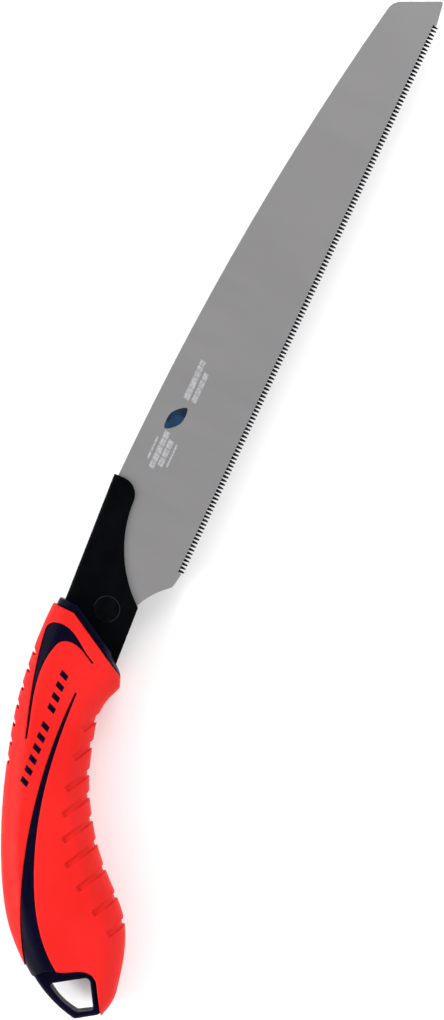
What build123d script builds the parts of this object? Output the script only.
"""Japanese pull saw: a replaceable blade, a folded steel holder and a curved two-colour grip.

+X runs along the toothed edge towards the tip, +Y points from the teeth to the blade's back, and
+Z is up, with the saw lying on its side.  The origin is the middle of the flat on the side of the
grip that the saw lies on.

Outlines are drawn on the saw's middle plane in coordinates that start at the hook pin, where the
blade, the holder and the handle meet.
"""

import os
from math import cos, hypot, radians, sin, tan

from build123d import *

# ---------------------------------------------------------------- driving sizes (millimetres)
PIN_X = 94.0  # the hook pin, from the middle of the grip's flats
PIN_Y = 20.0

# Blade
BLADE_THICKNESS = 0.7
TOOTHED_LENGTH = 240.0
TOOTH_COUNT = 150
TOOTH_START_X = 25.0
TOOTH_ROOT_Y = -19.4
TOOTH_HEIGHT = 2.4
# One tooth's corners, as shares of the pitch and of the height.
TOOTH_PROFILE = [(0.06, 0.0), (0.30, 0.94), (0.64, 1.0), (0.90, 0.0)]
EDGE_INSET = 0.8  # the plain edge beside the teeth, inside their tips
SPINE_Y = 18.4  # the blade's back where it leaves the holder
SPINE_SETBACK = 2.0  # from the holder's nose back to where the straight, hidden back ends
TIP_DROP = 19.3  # the back's fall from there to the tip
TIP_REACH = 1.5  # the tip's back corner, past the last tooth
TIP_FRONT_REACH = 10.1
TIP_FRONT_LIFT = 2.6  # the tip's front corner, above the tooth tips
TIP_BACK_RADIUS = 6.5
TIP_FRONT_RADIUS = 0.8
HEEL_REACH = 6.4  # the heel's lower corner, behind the first tooth
HEEL_LIFT = 1.1
HEEL_RADIUS = 1.6

# Hook pin: a flat-headed rivet, with the bush that the blade hooks on to
PIN_RADIUS = 2.5
PIN_FIT = 0.02
BUSH_RADIUS = 4.0
BUSH_FIT = 0.05
BUSH_END_CLEARANCE = 0.05
HEAD_RADIUS = 5.3
HEAD_HEIGHT = 0.5
HEAD_CHAMFER = 0.25
HOOK_FIT = 0.06
HOOK_RADIUS = 8.0  # outside of the blade's hook
HOOK_LIP = 3.2  # the hook's short side, past the pin's middle
HOOK_LEAN = 12.0  # degrees, where the hook's round runs into the blade's lower side

# Folded steel holder
LEAF = 1.2
LEAF_CLEARANCE = 0.1  # blade to leaf, each side
FOLD_CLEARANCE = 0.4  # blade's back to the inside of the fold
HOLDER_TILT = 3.6  # degrees from the toothed edge
HOLDER_DEPTH = 11.35  # from the pin down to the lower edge
NOSE_X = 50.0
NOSE_LEAN = 0.35  # how far the nose's lower corner stands in front of its upper one
NOSE_FOOT_Y = 8.3
NOSE_RADIUS = 7.2
THROAT_X = 5.6
THROAT_RADIUS = 1.6
FOLD_RADIUS = 1.2

# Tang
TANG_LENGTH = 68.0  # from the pin back to the tang's end
TANG_END_WIDTH = 12.0
TANG_ROOT_SETBACK = 2.0  # behind the mouth, where the full-height part ends at the back
TANG_FOOT_SETBACK = 15.0  # the same along the lower edge
TANG_STEP = 3.0  # how far the tang steps in from both edges
TANG_STEP_RUN = 5.0
TANG_FIT = 0.1
SPACER_SETBACK = 9.6  # from the pin, clear of the blade's hook
TANG_PIN_RADIUS = 2.0
TANG_PIN_COVER = 6.0  # from a pin's end out to the side of the grip's palm swell
TANG_PIN_FIT = 0.05
TANG_PIN_PLACES = [(-34.0, 0.8), (-58.0, -5.6)]

# Grip
GRIP_THICKNESS = 26.0  # across the palm swell, where its two sides are flat
EDGE_SHARE = 0.38  # the rounding of the grip's edges, as a share of a section's shorter side
SKIN = 3.0
BOND = 0.02  # the bond line between skin and core
INLAY_DEPTH = 0.5  # the core's inlays, below the skin's surface
GROOVE_DEPTH = 1.0
GROOVE_WIDTH = 2.3
GROOVE_TILT = 151.6  # degrees, the way a groove runs in from the belly
GROOVE_START = 3.0  # how far outside the belly a groove is cut from
# One finger notch, from where it meets the grip's back.
NOTCH_OUTLINE = [(0.5, 1.0), (-1.7, -1.7), (-1.0, -2.0), (0.9, -0.6), (2.2, 1.0)]
MOUTH_X = -6.6
MOUTH_KNEE_Y = 11.0
MOUTH_SLOPE = 60.5  # degrees
MOUTH_DROP = 26.8  # from the knee down to the mouth's foot
MOUTH_FOOT_RADIUS = 2.5
MOUTH_LIP_RUN = 20.0  # the mouth's line from its foot on to the belly
MOUTH_LIP_DROP = 9.0
COLLAR_PROUD = 3.1
COLLAR_INSET = 1.6
LOOP_HALF = 6.0
LOOP_EDGE = 1.0
LOOP_CORNER_RADIUS = 1.5
HOLE_CORNER_RADIUS = 1.0
PEG_RADIUS = 2.5
PEG_LENGTH = 4.0
PEG_FIT = 0.1
PEG_PLACES = [(-80.0, -13.0), (-128.0, -40.0)]

# Stations along the grip, from the mouth to the butt: the back, the belly, and the thickness as a
# share of the palm swell's.
STATIONS = [
    ((8.0, 20.3), (-12.0, -16.6), 0.800),
    ((-7.2, 20.3), (-22.0, -17.2), 0.831),
    ((-15.0, 20.3), (-26.6, -17.7), 0.854),
    ((-25.0, 19.8), (-33.0, -15.4), 0.869),
    ((-36.0, 18.6), (-40.5, -15.0), 0.877),
    ((-50.0, 16.3), (-49.0, -16.9), 0.908),
    ((-64.0, 12.6), (-58.0, -19.7), 0.962),
    ((-79.0, 7.9), (-68.0, -23.9), 1.008),
    ((-94.0, 2.2), (-78.0, -29.8), 1.023),
    ((-108.0, -4.2), (-87.0, -36.4), 1.023),
    ((-120.0, -10.8), (-95.0, -44.0), 1.015),
    ((-130.0, -17.9), (-102.6, -52.4), 0.992),
    ((-137.5, -25.4), (-110.8, -59.4), 0.946),
    ((-142.8, -31.9), (-122.0, -64.3), 0.885),
    ((-147.0, -39.0), (-134.0, -67.2), 0.815),
    ((-150.5, -48.0), (-147.6, -65.9), 0.754),
]

# Where each groove meets the belly, and how far in it runs.
GROOVES = [
    ((-42.2, -15.4), 6.2),
    ((-52.6, -17.8), 7.3),
    ((-63.0, -21.4), 9.6),
    ((-71.2, -25.3), 11.1),
    ((-79.2, -30.2), 12.4),
    ((-87.0, -35.8), 13.3),
    ((-94.6, -43.1), 11.9),
    ((-102.5, -51.9), 10.1),
    ((-110.6, -59.0), 6.8),
]

# Where each finger notch meets the grip's back.
NOTCHES = [
    (-27.0, 19.7),
    (-34.2, 18.9),
    (-41.6, 17.9),
    (-48.8, 16.6),
    (-56.0, 14.9),
    (-63.1, 13.0),
    (-70.3, 10.8),
]

# ---------------------------------------------------------------- worked out from them
mid_plane = Plane(origin=(PIN_X, PIN_Y, GRIP_THICKNESS / 2))
gap = BLADE_THICKNESS + 2 * LEAF_CLEARANCE
holder_half = gap / 2 + LEAF
tooth_tip_y = TOOTH_ROOT_Y - TOOTH_HEIGHT
tooth_end_x = TOOTH_START_X + TOOTHED_LENGTH
pitch = TOOTHED_LENGTH / TOOTH_COUNT
pin_half = GRIP_THICKNESS / 2 - TANG_PIN_COVER
fold_slope = tan(radians(HOLDER_TILT))
fold_stretch = 1 / cos(radians(HOLDER_TILT))
mouth_run = 1 / tan(radians(MOUTH_SLOPE))
tilted = Location((0, 0, 0), (0, 0, HOLDER_TILT))
FAR = 400.0  # longer than anything that is cut


def spine_at(x):
    """Height of the blade's hidden, straight back."""
    return SPINE_Y + (x - NOSE_X) * fold_slope


def fold_inside_at(x):
    return spine_at(x) + FOLD_CLEARANCE * fold_stretch


def fold_outside_at(x):
    return fold_inside_at(x) + LEAF * fold_stretch


def lower_edge_at(x):
    """Height of the holder's lower edge, which runs with the fold."""
    return x * fold_slope - HOLDER_DEPTH * fold_stretch


def corner(sketch, point):
    """The sketch's vertex nearest to a point."""
    return sketch.vertices().sort_by_distance((*point, 0))[0]


# ---------------------------------------------------------------- blade
def tooth_line():
    """The teeth from the tip to the heel, steeper on the side that cuts on the pull."""
    points = []
    for i in range(TOOTH_COUNT):
        front = tooth_end_x - i * pitch
        for along, down in TOOTH_PROFILE:
            points.append((front - along * pitch, TOOTH_ROOT_Y - down * TOOTH_HEIGHT))
    return points


leave_holder = (NOSE_X - SPINE_SETBACK, SPINE_Y)
tip_back = (tooth_end_x + TIP_REACH, SPINE_Y - TIP_DROP)
tip_front = (tooth_end_x + TIP_FRONT_REACH, tooth_tip_y + TIP_FRONT_LIFT)
edge_front = (tooth_end_x, tooth_tip_y + EDGE_INSET)
edge_back = (TOOTH_START_X, tooth_tip_y + EDGE_INSET)
heel = (TOOTH_START_X - HEEL_REACH, tooth_tip_y + EDGE_INSET + HEEL_LIFT)
heel_middle = (12.5, -14.0)
heel_hidden = (3.2, -9.2)
hook_bottom = (-HOOK_RADIUS * sin(radians(HOOK_LEAN)), -HOOK_RADIUS * cos(radians(HOOK_LEAN)))

with BuildPart() as saw_blade:
    with BuildSketch(mid_plane.offset(-BLADE_THICKNESS / 2)) as blade_face:
        with BuildLine():
            Line((0, spine_at(0)), leave_holder)
            TangentArc(leave_holder, tip_back, tangent=(1, 0))
            Polyline(tip_back, tip_front, edge_front, *tooth_line(), edge_back, heel)
            ThreePointArc(heel, heel_middle, heel_hidden)
            Polyline(heel_hidden, hook_bottom, (0, 0), (0, spine_at(0)))
        make_face()
        fillet(corner(blade_face, tip_back), TIP_BACK_RADIUS)
        fillet(corner(blade_face, tip_front), TIP_FRONT_RADIUS)
        fillet(corner(blade_face, heel), HEEL_RADIUS)
        Circle(HOOK_RADIUS)
        with Locations(tilted):
            Circle(BUSH_RADIUS + HOOK_FIT, mode=Mode.SUBTRACT)
            Rectangle(
                2 * (BUSH_RADIUS + HOOK_FIT),
                FAR,
                align=(Align.CENTER, Align.MIN),
                mode=Mode.SUBTRACT,
            )
        with Locations(tilted * Location((0, HOOK_LIP, 0))):
            Rectangle(2 * HOOK_RADIUS, FAR, align=(Align.MAX, Align.MIN), mode=Mode.SUBTRACT)
    extrude(amount=BLADE_THICKNESS)

# ---------------------------------------------------------------- holder
nose_low = (NOSE_X + NOSE_LEAN, NOSE_FOOT_Y)
nose_middle = (22.5, 2.9)
throat = (THROAT_X, lower_edge_at(THROAT_X))
tang_root_x = MOUTH_X - TANG_ROOT_SETBACK
tang_foot_x = MOUTH_X - TANG_FOOT_SETBACK
tang_high = fold_inside_at(tang_root_x) - TANG_STEP
tang_low = lower_edge_at(-TANG_LENGTH) + TANG_STEP

with BuildSketch(mid_plane) as holder_outline:
    with BuildLine():
        Line((tang_root_x, fold_outside_at(tang_root_x)), (NOSE_X, fold_outside_at(NOSE_X)))
        Line((NOSE_X, fold_outside_at(NOSE_X)), nose_low)
        ThreePointArc(nose_low, nose_middle, throat)
        Polyline(
            throat,
            (tang_foot_x, lower_edge_at(tang_foot_x)),
            (tang_foot_x - TANG_STEP_RUN, lower_edge_at(tang_foot_x) + TANG_STEP),
            (-TANG_LENGTH, tang_low),
            (-TANG_LENGTH, tang_low + TANG_END_WIDTH),
            (tang_root_x - TANG_STEP, tang_high),
            (tang_root_x, tang_high),
            (tang_root_x, fold_outside_at(tang_root_x)),
        )
    make_face()
    fillet(corner(holder_outline, nose_low), NOSE_RADIUS)
    fillet(corner(holder_outline, throat), THROAT_RADIUS)

with BuildPart() as blade_holder:
    extrude(holder_outline.sketch, amount=holder_half, both=True)
    fold_edges = (
        blade_holder.faces()
        .sort_by(Axis.Y)[-1]
        .edges()
        .filter_by(lambda edge: edge.length > NOSE_X)
    )
    fillet(fold_edges, FOLD_RADIUS)
    # The slot between the two leaves, open at the teeth side and along the whole tang.
    with BuildSketch(mid_plane):
        with BuildLine():
            Polyline(
                (-FAR, fold_inside_at(-FAR)),
                (FAR, fold_inside_at(FAR)),
                (FAR, -FAR),
                (-FAR, -FAR),
                close=True,
            )
        make_face()
    extrude(amount=gap / 2, both=True, mode=Mode.SUBTRACT)
    with BuildSketch(mid_plane):
        Circle(PIN_RADIUS + PIN_FIT)
        with Locations(*TANG_PIN_PLACES):
            Circle(TANG_PIN_RADIUS + TANG_PIN_FIT)
    extrude(amount=holder_half, both=True, mode=Mode.SUBTRACT)

# ---------------------------------------------------------------- hook pin and bush
with BuildPart() as pivot_rivet:
    with BuildSketch(mid_plane):
        Circle(PIN_RADIUS)
    extrude(amount=holder_half, both=True)
    for plane in (mid_plane.offset(holder_half), mid_plane.offset(-holder_half - HEAD_HEIGHT)):
        with BuildSketch(plane):
            Circle(HEAD_RADIUS)
        extrude(amount=HEAD_HEIGHT)
    rims = pivot_rivet.edges().filter_by(GeomType.CIRCLE).sort_by(Axis.Z)
    chamfer([rims[0], rims[-1]], HEAD_CHAMFER)

bush_half = gap / 2 - BUSH_END_CLEARANCE
with BuildPart() as pivot_bush:
    with BuildSketch(mid_plane):
        Circle(BUSH_RADIUS)
        Circle(PIN_RADIUS + BUSH_FIT, mode=Mode.SUBTRACT)
    extrude(amount=bush_half, both=True)

# ---------------------------------------------------------------- tang spacer and pins
with BuildPart() as tang_spacer:
    with BuildSketch(mid_plane) as spacer_face:
        add(holder_outline.sketch_local)
        with Locations((-SPACER_SETBACK, 0)):
            Rectangle(FAR, FAR, align=(Align.MIN, Align.CENTER), mode=Mode.SUBTRACT)
        with BuildLine():
            Polyline(
                (-FAR, fold_inside_at(-FAR)),
                (FAR, fold_inside_at(FAR)),
                (FAR, FAR),
                (-FAR, FAR),
                close=True,
            )
        make_face(mode=Mode.SUBTRACT)
        with Locations(*TANG_PIN_PLACES):
            Circle(TANG_PIN_RADIUS + TANG_PIN_FIT, mode=Mode.SUBTRACT)
    extrude(amount=gap / 2, both=True)

with BuildPart() as tang_pins:
    with BuildSketch(mid_plane):
        with Locations(*TANG_PIN_PLACES):
            Circle(TANG_PIN_RADIUS)
    extrude(amount=pin_half, both=True)


# ---------------------------------------------------------------- the handle's shared forms
def station_plane(back, belly):
    """The plane of one cross-section, with its x axis pointing from the belly to the back."""
    middle = ((back[0] + belly[0]) / 2, (back[1] + belly[1]) / 2, 0)
    across = (back[0] - belly[0], back[1] - belly[1], 0)
    return Plane(
        origin=mid_plane.from_local_coords(middle),
        x_dir=across,
        z_dir=(-across[1], across[0], 0),
    )


def handle_form(inset):
    """The handle's plain rounded form, drawn in on every side, with flats on the palm swell."""
    with BuildPart() as form:
        for back, belly, share in STATIONS:
            width = hypot(back[0] - belly[0], back[1] - belly[1])
            thickness = share * GRIP_THICKNESS
            rounding = EDGE_SHARE * min(width, thickness)
            with BuildSketch(station_plane(back, belly)):
                RectangleRounded(width - 2 * inset, thickness - 2 * inset, rounding - inset)
        loft()
        with BuildSketch(mid_plane):
            Rectangle(2 * FAR, 2 * FAR)
        extrude(amount=GRIP_THICKNESS / 2 - inset, both=True, mode=Mode.INTERSECT)
    return form.part


def ahead_of_mouth(proud):
    """Everything in front of the mouth's line, moved forward by proud."""
    knee = (MOUTH_X + proud, MOUTH_KNEE_Y)
    foot = (knee[0] - MOUTH_DROP * mouth_run, knee[1] - MOUTH_DROP)
    lip = (foot[0] - MOUTH_LIP_RUN, foot[1] - MOUTH_LIP_DROP)
    with BuildPart() as front:
        with BuildSketch(mid_plane) as cut:
            with BuildLine():
                Polyline((knee[0], FAR), knee, foot, lip)
                Polyline(lip, (lip[0], -FAR), (FAR, -FAR))
                Polyline((FAR, -FAR), (FAR, FAR), (knee[0], FAR))
            make_face()
            fillet(corner(cut, foot), MOUTH_FOOT_RADIUS)
        extrude(amount=GRIP_THICKNESS, both=True)
    return front.part


def past_butt():
    """Everything beyond the curved line where the rounded grip ends and the loop stands free."""
    with BuildPart() as rear:
        with BuildSketch(mid_plane):
            with BuildLine():
                Spline((-146.4, -33.9), (-140.8, -37.1), (-137.8, -41.7))
                Spline((-137.8, -41.7), (-135.4, -47.8), (-133.0, -53.3), (-135.0, -58.6))
                Line((-135.0, -58.6), (-150.0, -67.8))
                Polyline((-150.0, -67.8), (-150.0, -FAR), (-FAR, -FAR), (-FAR, -33.9), (-146.4, -33.9))
            make_face()
        extrude(amount=GRIP_THICKNESS, both=True)
    return rear.part


def crescent():
    """The curved window near the mouth."""
    with BuildPart() as window:
        with BuildSketch(mid_plane):
            with BuildLine():
                Spline((-59.6, 7.3), (-44.2, 12.3), (-29.3, 16.3), (-18.4, 18.3))
                Spline((-18.4, 18.3), (-13.7, 17.2), (-12.5, 12.1), (-16.4, 3.4), (-21.1, -4.6))
                Line((-21.1, -4.6), (-21.8, -4.3))
                Spline((-21.8, -4.3), (-19.5, 0.0), (-17.6, 5.0), (-18.2, 9.7), (-21.4, 12.1))
                Spline((-21.4, 12.1), (-29.3, 13.4), (-44.2, 11.2), (-59.6, 6.6))
                Line((-59.6, 6.6), (-59.6, 7.3))
            make_face()
        extrude(amount=GRIP_THICKNESS, both=True)
    return window.part


def stripe():
    """The long window that runs down the grip and out over its butt."""
    with BuildPart() as window:
        with BuildSketch(mid_plane):
            with BuildLine():
                Spline((-34.5, -2.8), (-59.0, -3.7), (-88.7, -8.6), (-118.4, -18.1), (-144.2, -32.2))
                Polyline((-144.2, -32.2), (-158.0, -42.0), (-140.3, -46.8))
                Spline((-140.3, -46.8), (-128.4, -31.9), (-108.5, -19.3), (-78.8, -9.0), (-34.5, -3.5))
                Line((-34.5, -3.5), (-34.5, -2.8))
            make_face()
        extrude(amount=GRIP_THICKNESS, both=True)
    return window.part


# ---------------------------------------------------------------- the two halves of the core
loop_tip = (-152.3, -56.9)
loop_foot = (-146.3, -65.7)

with BuildSketch(mid_plane) as loop_outline:
    with BuildLine():
        ThreePointArc((-142.8, -34.0), (-149.0, -45.2), loop_tip)
        Polyline(loop_tip, loop_foot, (-140.0, -61.8), (-127.0, -54.0))
        Polyline((-127.0, -54.0), (-127.0, -38.0), (-142.8, -34.0))
    make_face()
    fillet(corner(loop_outline, loop_tip), LOOP_CORNER_RADIUS)
    fillet(corner(loop_outline, loop_foot), LOOP_CORNER_RADIUS)

# The hole's corners, each with its rounding.
hole_top = (-143.7, -42.1)
hole_left = (-149.3, -56.9)
hole_foot = (-146.0, -62.3)
hole_right = (-134.8, -55.5)

with BuildSketch(mid_plane) as hang_hole:
    with BuildLine():
        ThreePointArc(hole_top, (-147.7, -49.2), hole_left)
        Polyline(hole_left, hole_foot, hole_right, hole_top)
    make_face()
    for point in (hole_top, hole_left, hole_foot):
        fillet(corner(hang_hole, point), HOLE_CORNER_RADIUS)
    fillet(corner(hang_hole, hole_right), 2 * HOLE_CORNER_RADIUS)

with BuildSketch(mid_plane) as pocket_outline:
    add(holder_outline.sketch_local)
    offset(amount=TANG_FIT)

form_in_mouth = handle_form(SKIN + BOND) - ahead_of_mouth(0)
form_at_inlays = handle_form(INLAY_DEPTH)
collar_form = (handle_form(COLLAR_INSET) & ahead_of_mouth(0)) - ahead_of_mouth(COLLAR_PROUD)

with BuildPart() as loop:
    extrude(loop_outline.sketch, amount=LOOP_HALF, both=True)
    chamfer(loop.faces().filter_by(Axis.Z).edges(), LOOP_EDGE)

with BuildPart() as core:
    add(form_in_mouth)
    add(form_at_inlays & crescent())
    add(form_at_inlays & stripe())
    add(past_butt(), mode=Mode.SUBTRACT)
    add(collar_form)
    add(loop.part)
    extrude(hang_hole.sketch, amount=GRIP_THICKNESS, both=True, mode=Mode.SUBTRACT)
    extrude(pocket_outline.sketch, amount=holder_half + TANG_FIT, both=True, mode=Mode.SUBTRACT)
    with BuildSketch(mid_plane):
        with Locations(*TANG_PIN_PLACES):
            Circle(TANG_PIN_RADIUS + TANG_PIN_FIT)
    extrude(amount=pin_half + TANG_FIT, both=True, mode=Mode.SUBTRACT)

with BuildPart() as core_left:
    add(core.part)
    split(bisect_by=mid_plane, keep=Keep.BOTTOM)
    with BuildSketch(mid_plane):
        with Locations(*PEG_PLACES):
            Circle(PEG_RADIUS)
    extrude(amount=PEG_LENGTH)

with BuildPart() as core_right:
    add(core.part)
    split(bisect_by=mid_plane, keep=Keep.TOP)
    with BuildSketch(mid_plane):
        with Locations(*PEG_PLACES):
            Circle(PEG_RADIUS + PEG_FIT)
    extrude(amount=PEG_LENGTH + PEG_FIT, mode=Mode.SUBTRACT)

# ---------------------------------------------------------------- soft grip
with BuildPart() as grooves:
    for (x, y), length in GROOVES:
        inward = Location((x, y, 0), (0, 0, GROOVE_TILT))
        with BuildSketch(mid_plane):
            with Locations(inward * Location((-GROOVE_START, 0, 0))):
                Rectangle(length + GROOVE_START, GROOVE_WIDTH, align=(Align.MIN, Align.MAX))
        extrude(amount=GRIP_THICKNESS, both=True)
    add(handle_form(GROOVE_DEPTH), mode=Mode.SUBTRACT)

with BuildPart() as notches:
    with BuildSketch(mid_plane):
        with Locations(*NOTCHES):
            Polygon(*NOTCH_OUTLINE, align=None)
    extrude(amount=GRIP_THICKNESS, both=True)

with BuildPart() as grip:
    add(handle_form(0))
    add(handle_form(SKIN), mode=Mode.SUBTRACT)
    add(ahead_of_mouth(0), mode=Mode.SUBTRACT)
    add(past_butt(), mode=Mode.SUBTRACT)
    add(crescent(), mode=Mode.SUBTRACT)
    add(stripe(), mode=Mode.SUBTRACT)
    add(loop.part, mode=Mode.SUBTRACT)
    add(grooves.part, mode=Mode.SUBTRACT)
    add(notches.part, mode=Mode.SUBTRACT)

# ---------------------------------------------------------------- one STEP file for each piece
PIECES = {
    "saw_blade": saw_blade,
    "blade_holder": blade_holder,
    "pivot_rivet": pivot_rivet,
    "pivot_bush": pivot_bush,
    "tang_spacer": tang_spacer,
    "tang_pins": tang_pins,
    "core_left": core_left,
    "core_right": core_right,
    "grip": grip,
}

os.makedirs("parts", exist_ok=True)
for name, piece in PIECES.items():
    piece.part.label = name
    export_step(piece.part, f"parts/{name}.step")
